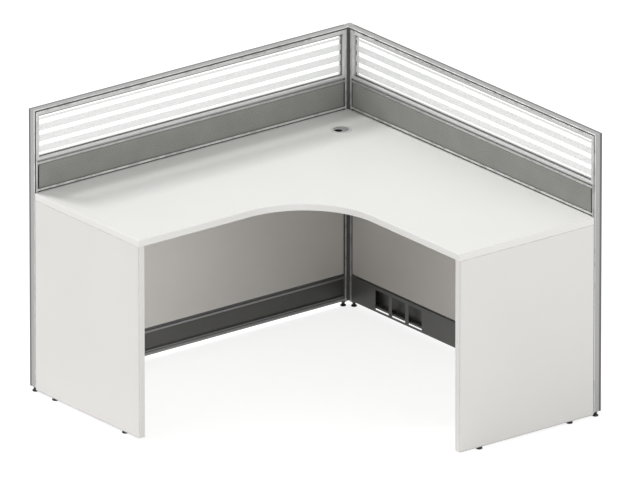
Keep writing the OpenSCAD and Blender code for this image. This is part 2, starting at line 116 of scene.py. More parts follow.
def profile(corners, radii):
    """A rounded outline whose corners and radii are given in millimetres."""
    return rounded(np.array(corners) * MM, np.array(radii) * MM)


def strip(a0, a1, b0, b1, radius):
    """A rectangle between two places each way, in millimetres, with its corners rounded."""
    return profile([(a0, b0), (a1, b0), (a1, b1), (a0, b1)], radius)


print("a rounded strip has", len(strip(0, 5, 0, 8, 0.8)), "points")

# %% [markdown]
# Aluminium profiles come out of a die as one long section, and are then cut square or on a mitre.
# The mesh is made the same way: the section's loops are placed at both ends of a straight line,
# and each end may depend on the place in the section, which is what a mitre is.

# %% Carry a section along a line
def fill(loops):
    """Triangles that close the outer one of some flat loops and leave the inner ones open."""
    return tessellate_polygon([[Vector((p[0], p[1], 0)) for p in loop] for loop in loops])


def wall(first, size, rise):
    """Quads from a loop of numbered points to its copy, whose numbers are higher by rise."""
    i = first + np.arange(size)
    j = first + np.roll(np.arange(size), -1)
    return np.stack([i, j, j + rise, i + rise], 1).tolist()


def grid(rows, count, ring=False):
    """Quads of rows of points that go round: cell (i, j) joins (i, j), (i, j + 1),
    (i + 1, j + 1) and (i + 1, j). In a ring the last row meets the first."""
    i, j = np.meshgrid(np.arange(rows if ring else rows - 1), np.arange(count), indexing="ij")
    i2, j2 = (i + 1) % rows, (j + 1) % count
    cells = np.stack([i * count + j, i * count + j2, i2 * count + j2, i2 * count + j], -1)
    return cells.reshape(-1, 4).tolist()


def carry(loops, start, end, place, bright=None, recess=None):
    """Closed loops of (a, b) carried from start to end: a point is place(distance, a, b), where
    start and end are numbers or functions of a and b. Quads join the ends and triangles close
    them, leaving the inner loops open as hollows. bright and recess are tests of (a, b), which
    mark a painted highlight and a painted shade on aluminium."""
    a, b = np.concatenate(loops).T
    ends = [cut(a, b) if callable(cut) else np.full(len(a), cut) for cut in (start, end)]
    points = np.concatenate([place(distance, a, b) for distance in ends])
    total, first, faces = len(a), 0, []
    for loop in loops:
        faces += wall(first, len(loop), total)
        first += len(loop)
    cap = fill(loops)
    faces += [list(t) for t in cap] + [[k + total for k in t] for t in cap]
    marks = [np.tile(test(a, b) * np.ones(total), 2) if test else np.zeros(2 * total)
             for test in (bright, recess)]
    return points, faces, *marks


print("a strip carried along a line has", len(carry([strip(0, 5, 0, 8, 0.8)], 0, 1, in_plan)[1]),
      "faces")

# %% [markdown]
# A board, tile or pane is an outline with a thickness. Its edges are rounded by a quarter circle
# on both faces, as an edging strip is after trimming. A "rim" value of one on the rounding lets
# a finish know where hands and feet wear it, and where a painted shade darkens the edges of the
# gables and tiles.

# %% Give an outline a thickness
def inward_normals(outline):
    """The direction into a closed outline at each point: the mean of its two edge normals, made
    longer so that both edges move in by the same distance."""
    edge = np.roll(outline, -1, axis=0) - outline
    edge /= np.linalg.norm(edge, axis=1, keepdims=True)
    after = np.stack([-edge[:, 1], edge[:, 0]], 1)
    before = np.roll(after, 1, axis=0)
    return (after + before) / (1 + (after * before).sum(1, keepdims=True))


def board(outline, low, high, rim, place, holes=(), steps=3):
    """Rings of the outline from one face to the other. With s the angle from a face to the edge,
    a ring is moved in by rim (1 - sin s) and lies rim (1 - cos s) below the face. Holes go
    straight through. The upright edge is the board's second mark, for its edging strip."""
    x, y = outline.T
    if np.sum(x * np.roll(y, -1) - np.roll(x, -1) * y) < 0:
        outline = outline[::-1]
    angle = np.linspace(0, math.pi / 2, steps + 1)
    inset, depth = rim * (1 - np.sin(angle)), rim * (1 - np.cos(angle))
    flat = min(rim, (high - low - 2 * rim) / 3)
    inset = np.concatenate([[2 * rim], inset, [0]])
    depth = np.concatenate([[0], depth, [rim + flat]])
    worn = np.concatenate([[0], np.ones(steps + 1), [0]])
    insets = np.concatenate([inset, inset[::-1]])
    levels = np.concatenate([low + depth, (high - depth)[::-1]])
    rings = outline[None] + inward_normals(outline)[None] * insets[:, None, None]
    a, b = rings[..., 0], rings[..., 1]
    points = place(a, b, levels[:, None]).reshape(-1, 3)
    rows, count = len(insets), len(outline)
    faces, total = grid(rows, count), rows * count
    low_numbers, high_numbers, first = [np.arange(count)], [np.arange(total - count, total)], total
    for hole in holes:
        size = len(hole)
        points = np.concatenate([points, *[place(*hole.T, np.full(size, level))
                                           for level in (low, high)]])
        faces += wall(first, size, size)
        low_numbers.append(first + np.arange(size))
        high_numbers.append(first + size + np.arange(size))
        first += 2 * size
    for ring, numbers in ((rings[0], low_numbers), (rings[-1], high_numbers)):
        number = np.concatenate(numbers)
        faces += [[int(number[k]) for k in t] for t in fill([ring, *holes])]
    band = (inset == 0) * 1.0
    return points, faces, *[
        np.append(np.repeat(np.append(mark, mark[::-1]), count), np.zeros(len(points) - total))
        for mark in (worn * (1 - band), band)]


print("a board has", len(board(strip(0, 60, 0, 40, 5), 0, 5 * MM, 1 * MM, in_plan)[0]), "points")

# %% [markdown]
# Feet, glides and the cable grommet are turned shapes: a profile of radius and height, spun round
# an upright line. A profile that starts and ends on the line closes at two poles, and one that
# comes back to its start closes as a ring.

# %% Turn a profile round an upright line
def circle(sides):
    """Angles that go round once."""
    return np.linspace(0, 2 * math.pi, sides, endpoint=False)


def spun(centre, r, z, t):
    """Places at radius r and height z round a line: x = cx + r cos t, y = cy + r sin t."""
    return in_plan(centre[0] + r * np.cos(t), centre[1] + r * np.sin(t), z).reshape(-1, 3)


def turned(outline, centre, closed=False, sides=56, recess=None):
    """A profile (r, z) spun round a line, with a test (r, z) of what counts as recess."""
    points = spun(centre, outline[:, :1], outline[:, 1:], circle(sides))
    dark = np.repeat(recess(*outline.T) * 1.0, sides) if recess else np.zeros(len(points))
    return points, grid(len(outline), sides, closed), np.zeros(len(points)), dark


print("a turned ring has", len(turned(strip(10, 20, 0, 5, 1), (0, 0), closed=True)[1]), "faces")

# %% [markdown]
# A frame round a pane is four lengths of the same section with mitred corners. As one surface it
# is the section swept round a rectangle, where each section point has its own distance from the
# screen's edges, so all four corners come out as true mitres.

# %% Sweep a section round a rectangle
GLASS_FRAME_FOOT = 855 * MM


def round_pane(section, side, top_extra=0.0, recess=0.0):
    """A closed section (d, v) round the glass: the corners lie at distance d from the screen's
    ends and top, and d above the frame's foot line. Along the top, the half that faces the glass
    lies top_extra lower."""
    d, v = section.T
    from_top = d + np.where(d > d.mean(), top_extra, 0)
    along = np.stack([d, LENGTH - d, LENGTH - d, d])
    up = np.stack([GLASS_FRAME_FOOT + d, GLASS_FRAME_FOOT + d, TOP - from_top, TOP - from_top])
    points = on_screen(side, along, v[None], up).reshape(-1, 3)
    plain = np.zeros(len(points))
    return points, grid(4, len(section), ring=True), plain, plain + recess


print("a frame round the glass has", len(round_pane(strip(0, 5, 0, 8, 0.8), "left")[1]), "faces")

# %% [markdown]
# Raceway covers are folded steel sheet. A path with small bends is drawn out along the screen as
# a grid of cells. Leaving cells out makes the square socket openings, and a second grid one sheet
# thickness behind, joined wherever a cell ends, makes the sheet solid.

# %% Fold a sheet
def folded_sheet(path, lines, thickness, place, missing=()):
    """Cells between lines and path points. The back layer is the path moved by its right-hand
    normal. missing holds (line0, line1, up0, up1) windows, whose cells are left out."""
    step = np.diff(path, axis=0)
    step /= np.linalg.norm(step, axis=1, keepdims=True)
    right = np.stack([step[:, 1], -step[:, 0]], 1)
    before, after = np.vstack([right[:1], right]), np.vstack([right, right[-1:]])
    back = path + thickness * (before + after) / (1 + (before * after).sum(1, keepdims=True))
    layers = [place(lines[:, None], layer[None, :, 0], layer[None, :, 1]).reshape(-1, 3)
              for layer in (path, back)]
    rows, count = len(lines), len(path)
    middle = (lines[1:] + lines[:-1]) / 2
    height = (path[1:, 1] + path[:-1, 1]) / 2
    present = np.ones((rows - 1, count - 1), bool)
    for line0, line1, up0, up1 in missing:
        window = (middle > line0) & (middle < line1)
        present &= ~(window[:, None] & ((height > up0) & (height < up1))[None]
                     & (np.abs(step[:, 1]) > 0.9)[None])
    total, padded = rows * count, np.pad(present, 1)

    def quads(chosen, across, on):
        """A quad at each chosen (i, j), from point k = i * count + j to k + across and k + on."""
        i, j = np.nonzero(chosen)
        k = i * count + j
        return np.stack([k, k + across, k + across + on, k + on], 1)

    front = quads(present, 1, count)
    ends = quads(padded[1:, 1:-1] != padded[:-1, 1:-1], 1, total)
    edges = quads(padded[1:-1, 1:] != padded[1:-1, :-1], count, total)
    faces = np.vstack([front, front + total, ends, edges]).tolist()
    points = np.concatenate(layers)
    return points, faces, np.zeros(len(points)), np.zeros(len(points))


bend = profile([(15, 0), (0, 0), (0, 60)], [0, 2, 0])
print("a sheet with one bend has", len(folded_sheet(bend, np.arange(2), 1 * MM, in_plan)[1]),
      "faces")

# %% [markdown]
# All shapes end in the same steps: shells go into one mesh, points that coincide are merged,
# faces turn outwards, and only real edges stay sharp. Weighted normals keep wide faces flat right
# up to their rounded edges.

# %% Make a finished piece of some shells
SHARP = math.radians(38)
SAME_PLACE, NO_LENGTH = 2e-6, 1e-6
made = []


def place_object(name, data):
    """A new object in the scene."""
    placed = bpy.data.objects.new(name, data)
    bpy.context.scene.collection.objects.link(placed)
    return placed


def make_piece(name, shells, finish, nodes, body="root"):
    """One mesh of all shells, that rides a body, stands for its nodes and takes the finish it is
    given.
    """
    faces, first = [], 0
    for points, shell_faces, rim, recess in shells:
        faces += [[k + first for k in face] for face in shell_faces]
        first += len(points)
    mesh = bpy.data.meshes.new(name)
    mesh.from_pydata(np.concatenate([shell[0] for shell in shells]).tolist(), [], faces)
    for label, column in (("rim", 2), ("recess", 3)):
        values = np.concatenate([shell[column] for shell in shells])
        mesh.attributes.new(label, "FLOAT", "POINT").data.foreach_set("value", values)
    return finish_piece(name, mesh, finish, nodes, body)


def finish_piece(name, mesh, finish, nodes, body):
    """Doubles merged, faces outwards, smooth between real edges, with its finish and its body."""
    shape = bmesh.new()
    shape.from_mesh(mesh)
    bmesh.ops.remove_doubles(shape, verts=shape.verts, dist=SAME_PLACE)
    bmesh.ops.dissolve_degenerate(shape, edges=shape.edges, dist=NO_LENGTH)
    bmesh.ops.recalc_face_normals(shape, faces=shape.faces)
    shape.to_mesh(mesh)
    shape.free()
    mesh.shade_smooth()
    mesh.set_sharp_from_angle(angle=SHARP)
    mesh.materials.clear()
    mesh.materials.append(finish)
    piece = place_object(name, mesh)
    flatten = piece.modifiers.new("even shading", "WEIGHTED_NORMAL")
    flatten.keep_sharp = True
    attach(piece, body)
    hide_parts(*nodes)
    made.append(piece)
    return piece


def softened(name, node, finish, width):
    """A copy of a measured node for fittings out of sight. Its edges are bevelled by a width
    first, and its normals are weighted after that."""
    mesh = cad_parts[node].data.copy()
    piece = finish_piece(name, mesh, finish, [node], "root")
    soft = piece.modifiers.new("soft edges", "BEVEL")
    soft.width, soft.segments, soft.limit_method = width, 2, "ANGLE"
    piece.modifiers.move(1, 0)
    return piece


# %% [markdown]
# Finishes are node trees. One helper adds a node and links or sets its inputs, and another starts
# a group with named inputs and outputs. Groups hold what several finishes share, and the shader
# itself stays in each material.

# %% Helpers for node trees
def add(tree, kind, values=None, **settings):
    """A node of a kind, with its inputs set to numbers or linked to sockets."""
    node = tree.nodes.new(kind)
    for key, value in settings.items():
        setattr(node, key, value)
    for key, value in (values or {}).items():
        if isinstance(value, bpy.types.NodeSocket):
            tree.links.new(value, node.inputs[key])
        else:
            node.inputs[key].default_value = value
    return node


def math_node(tree, operation, a, b=0.0):
    """The value of operation(a, b)."""
    return add(tree, "ShaderNodeMath", {0: a, 1: b}, operation=operation).outputs[0]


def spread(tree, value, low, high, to_low, to_high):
    """A value between two numbers turned into one between two others."""
    return add(tree, "ShaderNodeMapRange", {"Value": value, "From Min": low, "From Max": high,
                                            "To Min": to_low, "To Max": to_high}).outputs[0]


def start_group(name, inputs, outputs):
    """A new shader group with named sockets of a kind, and its two end nodes."""
    tree = bpy.data.node_groups.new(name, "ShaderNodeTree")
    for label, kind, value in inputs:
        socket = tree.interface.new_socket(label, in_out="INPUT", socket_type="NodeSocket" + kind)
        if value is not None:
            socket.default_value = value
    for label, kind in outputs:
        tree.interface.new_socket(label, in_out="OUTPUT", socket_type="NodeSocket" + kind)
    return tree, tree.nodes.new("NodeGroupInput").outputs, tree.nodes.new("NodeGroupOutput").inputs


print("node groups so far", len(bpy.data.node_groups))

# %% [markdown]
# Every surface varies a little: laminate is printed, powder coat and anodising take unevenly, and
# dust lies about. The first group scales a colour up and down by a soft noise. The second is the
# fine structure, a noise stretched along the direction in which it was made.

# %% Shared groups: uneven colour and fine grain
uneven, given, result = start_group(
    "uneven colour",
    [("Colour", "Color", (0.8, 0.8, 0.8, 1)), ("Position", "Vector", None),
     ("Scale", "Float", 5.0), ("Amount", "Float", 0.02)],
    [("Colour", "Color")])
blots = add(uneven, "ShaderNodeTexNoise", {"Vector": given["Position"], "Scale": given["Scale"],
                                           "Detail": 3.0})
swing = spread(uneven, blots.outputs[0], 0.3, 0.7, -1.0, 1.0)
factor = math_node(uneven, "ADD", math_node(uneven, "MULTIPLY", swing, given["Amount"]), 1.0)
scaled = add(uneven, "ShaderNodeVectorMath", {0: given["Colour"], "Scale": factor},
             operation="SCALE")
uneven.links.new(scaled.outputs[0], result["Colour"])

grain, given, result = start_group(
    "fine grain",
    [("Position", "Vector", None), ("Fineness", "Vector", (800, 800, 800))],
    [("Height", "Float"), ("Shade", "Float")])
stretched = add(grain, "ShaderNodeVectorMath", {0: given["Position"], 1: given["Fineness"]},
                operation="MULTIPLY")
fibres = add(grain, "ShaderNodeTexNoise", {"Vector": stretched.outputs[0], "Scale": 1.0,
                                           "Detail": 2.0})
grain.links.new(fibres.outputs[0], result["Height"])
grain.links.new(spread(grain, fibres.outputs[0], 0.3, 0.7, 0.0, 1.0), result["Shade"])
print("groups:", uneven.name, "and", grain.name)

# %% [markdown]
# The screens' fabric is a plain two-over-two twill: each thread passes over two and under two,
# and the step moves by one thread a row, which draws the fine slanting lines in the photograph.
# Threads up and threads along are two sine ridges, and which one lies on top depends on the sum
# of the two thread numbers.

# %% Shared group: twill weave, and a rim mask for worn edges and painted light
weave, given, result = start_group(
    "twill weave",
    [("Position", "Vector", None), ("Thread", "Float", 0.0026)],
    [("Height", "Float"), ("Over", "Float")])


def weave_math(operation, a, b=0.0):
    """The value of operation(a, b) inside the weave."""
    return math_node(weave, operation, a, b)


axes = add(weave, "ShaderNodeSeparateXYZ", {0: given["Position"]}).outputs
across_number = weave_math("DIVIDE", weave_math("ADD", axes[0], axes[1]), given["Thread"])
up_number = weave_math("DIVIDE", axes[2], given["Thread"])
ridges = [weave_math("ABSOLUTE", weave_math("SINE", weave_math("MULTIPLY", number, math.pi)))
          for number in (across_number, up_number)]
order = weave_math("ADD", weave_math("FLOOR", across_number), weave_math("FLOOR", up_number))
over = weave_math("LESS_THAN", weave_math("FLOORED_MODULO", order, 4.0), 1.5)
height = weave_math("ADD", weave_math("MULTIPLY", ridges[0], over),
                    weave_math("MULTIPLY", ridges[1], weave_math("SUBTRACT", 1.0, over)))
weave.links.new(height, result["Height"])
weave.links.new(over, result["Over"])

# The rim mask, broken up by noise, serves worn edges and also a painted highlight and a painted
# shade.
rim_wear_and_light, given, result = start_group(
    "rim wear and painted light",
    [("Position", "Vector", None), ("Rim", "Float", 0.0),
     ("Scale", "Float", 30.0)],
    [("Mask", "Float")])
rim_noise = add(rim_wear_and_light, "ShaderNodeTexNoise", {"Vector": given["Position"], "Scale": given["Scale"],
                                          "Detail": 4.0})
rim_wear_and_light.links.new(math_node(rim_wear_and_light, "MULTIPLY", given["Rim"],
                         spread(rim_wear_and_light, rim_noise.outputs[0], 0.35, 0.55, 0.3, 1.0)), result["Mask"])
print("groups:", weave.name, "and", rim_wear_and_light.name)

# %% [markdown]
# Most finishes here share one layout: an uneven colour, a fine grain that moves the roughness a
# little and raises a faint bump, and a rim of another colour: worn edges on the worktop and the
# small parts, a painted highlight on aluminium and a painted shade on the gables and tiles. Metal
# and clearness are single values on the shader itself, except that metal fades out in a recess,
# whose darker colour is a painted shade.

# %% The common layout of a finish
def group_node(tree, group, values):
    """The outputs of a placed copy of a shared group."""
    return add(tree, "ShaderNodeGroup", values, node_tree=group).outputs


def varied(tree, colour, where, scale, amount):
    """A colour that goes up and down by an amount, in patches of a scale."""
    return group_node(tree, uneven, {"Colour": colour, "Position": where, "Scale": scale,
                                     "Amount": amount})["Colour"]


def raised(tree, shader, height, strength, distance):
    """A height bumps the shader's surface."""
    relief = add(tree, "ShaderNodeBump", {"Strength": strength, "Distance": distance,
                                          "Height": height})
    tree.links.new(relief.outputs[0], shader.inputs["Normal"])


def blended(tree, share, shade, colour):
    """A colour mixed towards another by a share."""
    mix = add(tree, "ShaderNodeMix", {0: share, 6: shade, 7: (*colour, 1)}, data_type="RGBA")
    return mix.outputs[2]


def new_material(name):
    """A new material, its node tree, its shader and the places on the object."""
    material = bpy.data.materials.new(name)
    material.use_nodes = True
    tree = material.node_tree
    where = tree.nodes.new("ShaderNodeTexCoord").outputs["Object"]
    return material, tree, tree.nodes["Principled BSDF"], where


def finish(name, colour, roughness, fineness, bump=0.05, patches=4.0, amount=0.02,
           rim_colour=None, rim_share=0.5, recess_colour=None, **shader_values):
    """A material: uneven colour into Base Color, grain into Roughness and Bump, rims mixed
    towards a rim colour, and a second mark mixed towards a recess colour, where metal loses its
    gloss. The rim colour is a painted highlight on aluminium, a painted shade on the gables and
    tiles, and worn edges elsewhere. The recess colour is a painted shade on aluminium and the
    grommet, and the edging strip's own colour on the worktop. fineness is the grain's points a
    metre, in all directions or along X, Y and Z."""
    material, tree, shader, where = new_material(name)
    shade = varied(tree, (*colour, 1), where, patches, amount)
    # The rim mix is worn edges on plastic, steel and the worktop, a painted highlight on aluminium
    # and a painted shade on the gables and tiles.
    if rim_colour:
        rim = add(tree, "ShaderNodeAttribute", attribute_name="rim").outputs["Fac"]
        mask = group_node(tree, rim_wear_and_light, {"Position": where, "Rim": rim})["Mask"]
        shade = blended(tree, math_node(tree, "MULTIPLY", mask, rim_share), shade, rim_colour)
    # The recess mix is a painted shade on aluminium and the grommet, and the edging strip on the
    # worktop.
    if recess_colour:
        deep = add(tree, "ShaderNodeAttribute", attribute_name="recess").outputs["Fac"]
        shade = blended(tree, deep, shade, recess_colour)
    tree.links.new(shade, shader.inputs["Base Color"])
    fine = group_node(tree, grain, {"Position": where,
                                    "Fineness": np.broadcast_to(fineness, 3).tolist()})
    tree.links.new(spread(tree, fine["Shade"], 0, 1, roughness * 0.9, roughness * 1.1),
                   shader.inputs["Roughness"])
    raised(tree, shader, fine["Height"], bump, 0.4 * MM)
    for key, value in shader_values.items():
        shader.inputs[key.replace("_", " ")].default_value = value
    if recess_colour and "Metallic" in shader_values:
        tree.links.new(spread(tree, deep, 0, 1, shader_values["Metallic"], 0),
                       shader.inputs["Metallic"])
    return material


print("finishes can place", len(bpy.data.node_groups), "shared groups")

# %% [markdown]
# The frame is satin anodised aluminium. The die leaves faint lines along each length, so the
# grain is stretched along X, Y or Z as the length runs, and three materials differ only in that.

# %% Aluminium finishes
ALONG = {"X": (3, 900, 900), "Y": (900, 3, 900), "Z": (900, 900, 3)}
RUN = {"left": "X", "right": "Y"}
ANODISED = {"bump": 0.03, "patches": 3.0}
# The rim colour is a painted highlight on flanges, front bevels, flush strips and the cap's
# rounded edges. The recess colour is a painted shade without metal in grooves, hollow cores, back
# bevels and on the cap's upright edge.
aluminium = {axis: finish(f"anodised aluminium along {axis}", (0.395, 0.395, 0.39), 0.36, fineness,
                          **ANODISED, rim_colour=(0.74, 0.74, 0.73), rim_share=1.0,
                          recess_colour=(0.13, 0.13, 0.13), Metallic=0.45)
             for axis, fineness in ALONG.items()}
bright_aluminium = finish("bright glass lining", (0.66, 0.66, 0.655), 0.32, ALONG["Z"],
                          **ANODISED, Metallic=0.3)
# A darker copy of the aluminium, a painted shade on the corner post where the two screens meet.
shaded_post_aluminium = finish("corner post aluminium with painted shade", (0.27, 0.27, 0.265), 0.4, ALONG["Z"],
                        **ANODISED, Metallic=0.45)
print("aluminium in", len(aluminium), "directions")

# %% [markdown]
# The worktop and gables are white melamine-faced board: nearly white, with the slight pebble of
# its pressing plate. The tiles below the desk have the same board in a warm grey, the raceway
# covers a charcoal powder coat with its orange-peel texture, a shade lighter on the flat cover.

# %% Board and powder-coat finishes
POWDER = {"fineness": 900, "bump": 0.25, "patches": 5.0, "amount": 0.06}
white_top = finish("white laminate top", (0.87, 0.87, 0.845), 0.42, 1400, patches=3.0,
                   amount=0.01, rim_colour=(0.9, 0.9, 0.89), recess_colour=(0.855, 0.845, 0.82))
# The gables' and tiles' rounded edges mix towards a darker rim colour, a painted shade along their
# edges and joints.
white_side = finish("white laminate side", (0.8, 0.783, 0.759), 0.45, 1400, patches=3.0,
                    amount=0.012, rim_colour=(0.55, 0.54, 0.52), rim_share=0.8)
warm_tile = finish("warm grey laminate", (0.87, 0.843, 0.805), 0.5, 1200,
                   rim_colour=(0.6, 0.58, 0.55))
charcoal = finish("charcoal powder coat", (0.088, 0.088, 0.08), 0.42, **POWDER)
flat_charcoal = finish("lighter charcoal powder coat", (0.14, 0.14, 0.131), 0.42, **POWDER)
print("boards and powder coat ready")

# %% [markdown]
# The small parts are moulded black plastic with a gloss, blackened or zinc-plated steel, soft
# rubber, and a pale grey plastic for the cable grommet.

# %% Plastic, rubber and steel finishes
PLASTIC = {"fineness": 1500, "bump": 0.08, "patches": 30.0, "amount": 0.03, "rim_share": 0.4}
black_gloss = finish("black moulded plastic", (0.018, 0.018, 0.02), 0.2, 900, 0.06, 40.0, 0.2,
                     rim_colour=(0.06, 0.06, 0.06), rim_share=0.6)
black_steel = finish("blackened steel", (0.035, 0.035, 0.038), 0.3, (900, 900, 200), 0.08, 40.0,
                     0.15, rim_colour=(0.15, 0.15, 0.15), Metallic=0.7)
rubber = finish("rubber gasket", (0.19, 0.19, 0.187), 0.6, 600, 0.1, 20.0, 0.1,
                recess_colour=(0.03, 0.03, 0.03))
bracket_steel = finish("galvanised bracket steel", (0.5, 0.51, 0.53), 0.4, 500, 0.08, 60.0, 0.12,
                       Metallic=0.95)
zinc = finish("zinc-plated steel", (0.6, 0.6, 0.58), 0.28, 900, 0.05, 60.0, 0.06, Metallic=1.0)
# Its near-black recess colour is a painted shade down inside the sleeve.
ring_plastic = finish("pale grey plastic", (0.72, 0.72, 0.70), 0.38, **PLASTIC,
                      rim_colour=(0.6, 0.6, 0.59), recess_colour=(0.01, 0.01, 0.01))
cap_plastic = finish("grey plastic cap", (0.4, 0.4, 0.39), 0.38, **PLASTIC,
                     rim_colour=(0.45, 0.45, 0.44))
print("small parts ready")

# %% [markdown]
# Fabric needs its own tree: the weave tints the two thread directions a little differently and
# gives the bump, and a sheen of loose fibres softens the edges of the tiles. Glass is clear
# with a trace of grey, and the frosted film on it is milky and half see-through. A path tracer
# finds a lamp behind glass only by luck, which shows as grain, so rays on their way to a lamp
# meet a plain see-through shader in place of the glass.

# %% Fabric, glass and film finishes
def cloth(name, colour, tint):
    """Twill cloth: threads that lie over are lighter by tint, with uneven dye and lint, and
    a painted shade in the low places between threads.
    """
    material, tree, shader, where = new_material(name)
    threads = group_node(tree, weave, {"Position": where})
    lint = varied(tree, (*colour, 1), where, 350.0, 0.08)
    shade = varied(tree, lint, where, 9.0, 0.06)
    lift = spread(tree, threads["Over"], 0, 1, 1 - tint, 1 + tint)
    # The low places between threads get a painted shade.
    hollow = spread(tree, threads["Height"], 0, 0.6, 0.8, 1.0)
    woven = add(tree, "ShaderNodeVectorMath", operation="SCALE",
                values={0: shade, "Scale": math_node(tree, "MULTIPLY", lift, hollow)})
    tree.links.new(woven.outputs[0], shader.inputs["Base Color"])
    raised(tree, shader, threads["Height"], 0.5, 0.5 * MM)
    tree.links.new(spread(tree, threads["Height"], 0, 1, 0.95, 0.8), shader.inputs["Roughness"])
    shader.inputs["Sheen Weight"].default_value = 0.15
    shader.inputs["Sheen Roughness"].default_value = 0.5
    return material


fabric = cloth("grey twill fabric", (0.265, 0.267, 0.247), 0.13)
clear_glass = finish("clear glass", (0.96, 0.97, 0.965), 0.02, 20, bump=0.0, patches=2.0,
                     amount=0.01, Transmission_Weight=1.0, IOR=1.45)
tree = clear_glass.node_tree
path = tree.nodes.new("ShaderNodeLightPath").outputs
to_lamps = math_node(tree, "MAXIMUM", path["Is Shadow Ray"], path["Is Diffuse Ray"])
see_through = add(tree, "ShaderNodeBsdfTransparent", {"Color": (0.93, 0.935, 0.93, 1)})
pane_shader = add(tree, "ShaderNodeMixShader", {
    0: to_lamps, 1: tree.nodes["Principled BSDF"].outputs[0], 2: see_through.outputs[0]})
tree.links.new(pane_shader.outputs[0], tree.nodes["Material Output"].inputs[0])
frosted = finish("frosted film", (0.85, 0.855, 0.85), 0.55, 1800, bump=0.1, patches=30.0,
                 amount=0.01, Alpha=0.48)
print("fabric, glass and film ready")

# %% [markdown]
# The uprights and the top rail are one extrusion: a box with a slot in its outer side for the
# trim, and a flange that comes flush with both faces, with a shadow groove on its outer side.
# The uprights stop at the mitre with the top rail, which is a cut at 45 degrees.

# %% Uprights and top rails
FOOT_LEVEL = 19 * MM
HAIRLINE = 0.1 * MM
edge_profile = profile(
    [(3, 12), (3, 5), (8.5, 5), (8.5, 0), (14.5, 0), (14.5, 5), (20.5, 5), (20.5, 27), (14.5, 27),
     (14.5, 32), (8.5, 32), (8.5, 27), (3, 27), (3, 20), (5, 20), (5, 25), (18.5, 25), (18.5, 7),
     (5, 7), (5, 12)],
    [.2, .4, .3, .8, .8, .3, .4, .4, .3, .8, .8, .3, .4, .2, .2, .5, .5, .5, .5, .2])


def flange_highlight(a, b):
    """The flange's two faces, which get a painted highlight in the lighter rim colour."""
    return (a > 8.4 * MM) & (a < 14.6 * MM) & ((b < 1 * MM) | (b > 31 * MM))


def groove_shade(a, b):
    """The box behind the flange, seen only through the shadow grooves, which gets a painted shade.
    """
    return (b > 4.6 * MM) & (b < 27.4 * MM)


for side in SIDES:
    make_piece(f"{side}_top_rail_profile", [carry(
        [edge_profile], lambda a, b: a + HAIRLINE, lambda a, b: LENGTH - a - HAIRLINE,
        lambda d, a, b: on_screen(side, d, b, TOP - a), flange_highlight, groove_shade)],
        aluminium[RUN[side]], [f"{side}_top_rail"])
    for end, place in (("end", lambda d, a, b: on_screen(side, a, b, d)),
                       ("corner", lambda d, a, b: on_screen(side, LENGTH - a, b, d))):
        make_piece(f"{side}_{end}_upright_profile", [carry(
            [edge_profile], FOOT_LEVEL, lambda a, b: TOP - a - HAIRLINE, place, flange_highlight,
            groove_shade)], aluminium["Z"], [f"{side}_{end}_upright"])
print("frame profile points", len(edge_profile))

# %% [markdown]
# A trim closes the slot: a 3 mm lip with bevelled outer edges, held by two springy legs. The top
# and end trims meet on a mitre too, and the top one is square where it meets the post's cap.

# %% Trims
lip_profile = profile([(1, 0), (3, 0), (3, 2), (3, 32), (1, 32), (0, 31), (0, 21.9), (0, 21.5),
                       (0, 2.4), (0, 2.1), (0, 1)], [.4, .4, 0, .4, .4, .4, 0, 0, 0, 0, .3])
leg_profiles = [strip(3, 9, across, across + 1.4, 0.3) for across in (12, 18.6)]
LEG_IN, LEG_START = 20.5 * MM, 45 * MM


def front_bevel(a, b):
    """The bevel and side towards the user, which gets a painted highlight as the brightest line of
    the trim.
    """
    return b < 2.2 * MM


def back_bevel(a, b):
    """The last centimetre towards the outer side, which gets a painted shade."""
    return b > 21.7 * MM


for side in SIDES:
    for name, axis, start, end, legs, place in (
            ("top", RUN[side], lambda a, b: a + HAIRLINE, LENGTH - HAIRLINE,
             (LEG_IN, LENGTH - LEG_IN), lambda d, a, b: on_screen(side, d, b, TOP - a)),
            ("end", "Z", FOOT_LEVEL, lambda a, b: TOP - a - HAIRLINE,
             (LEG_START, TOP - LEG_IN), lambda d, a, b: on_screen(side, a, b, d))):
        make_piece(f"{side}_{name}_trim_lip", [
            carry([lip_profile], start, end, place, front_bevel, back_bevel),
            *[carry([leg], *legs, place) for leg in leg_profiles]],
            aluminium[axis], [f"{side}_{name}_trim"])
print("trims with legs made")

# %% [markdown]
# The corner post stands between the two screens. In plan it is a hollow square with a tongue
# towards each upright, drawn as one outline and one hole, and a cap with a plug closes its top.

# %% Corner post and cap
post_outline = profile(
    [(681, 689), (689, 689), (689, 681), (711, 681), (711, 689), (716, 689), (716, 716),
     (689, 716), (689, 711), (681, 711)], [.3, .3, .3, .3, .3, .8, 2, .8, .3, .3])
post_hollow = strip(691, 714, 691, 714, 0.5)
POST_TOP, PLUG_FOOT, PLUG = 1056 * MM, 1050 * MM, (691.3, 713.7)
make_piece("corner_post_profile", [carry([post_outline, post_hollow], FOOT_LEVEL,
                                         POST_TOP - HAIRLINE,
                                         lambda d, a, b: in_plan(a, b, d))],
           shaded_post_aluminium, ["corner_post"])
cap_outline = profile([(684.1, 684.1), (716, 684.1), (716, 716), (684.1, 716)], [.3, .6, 2, .6])
make_piece("corner_cap_plate", [
    board(cap_outline, POST_TOP, TOP, 0.7 * MM, in_plan),
    board(strip(*PLUG, *PLUG, 1), PLUG_FOOT, POST_TOP, 0.3 * MM, in_plan)],
    aluminium["X"], ["corner_cap"])
print("corner post outline points", len(post_outline))

# %% [markdown]
# Between the uprights run four hollow rails. Each shows as a narrow strip that is flush with the
# face, and the strip is what the eye reads as a line between glass, fabric and tile. The bottom
# rail has a skirt, a shadow groove and a small ledge instead. The two lowest rails have none of
# these where the right screen's flat cover lies.

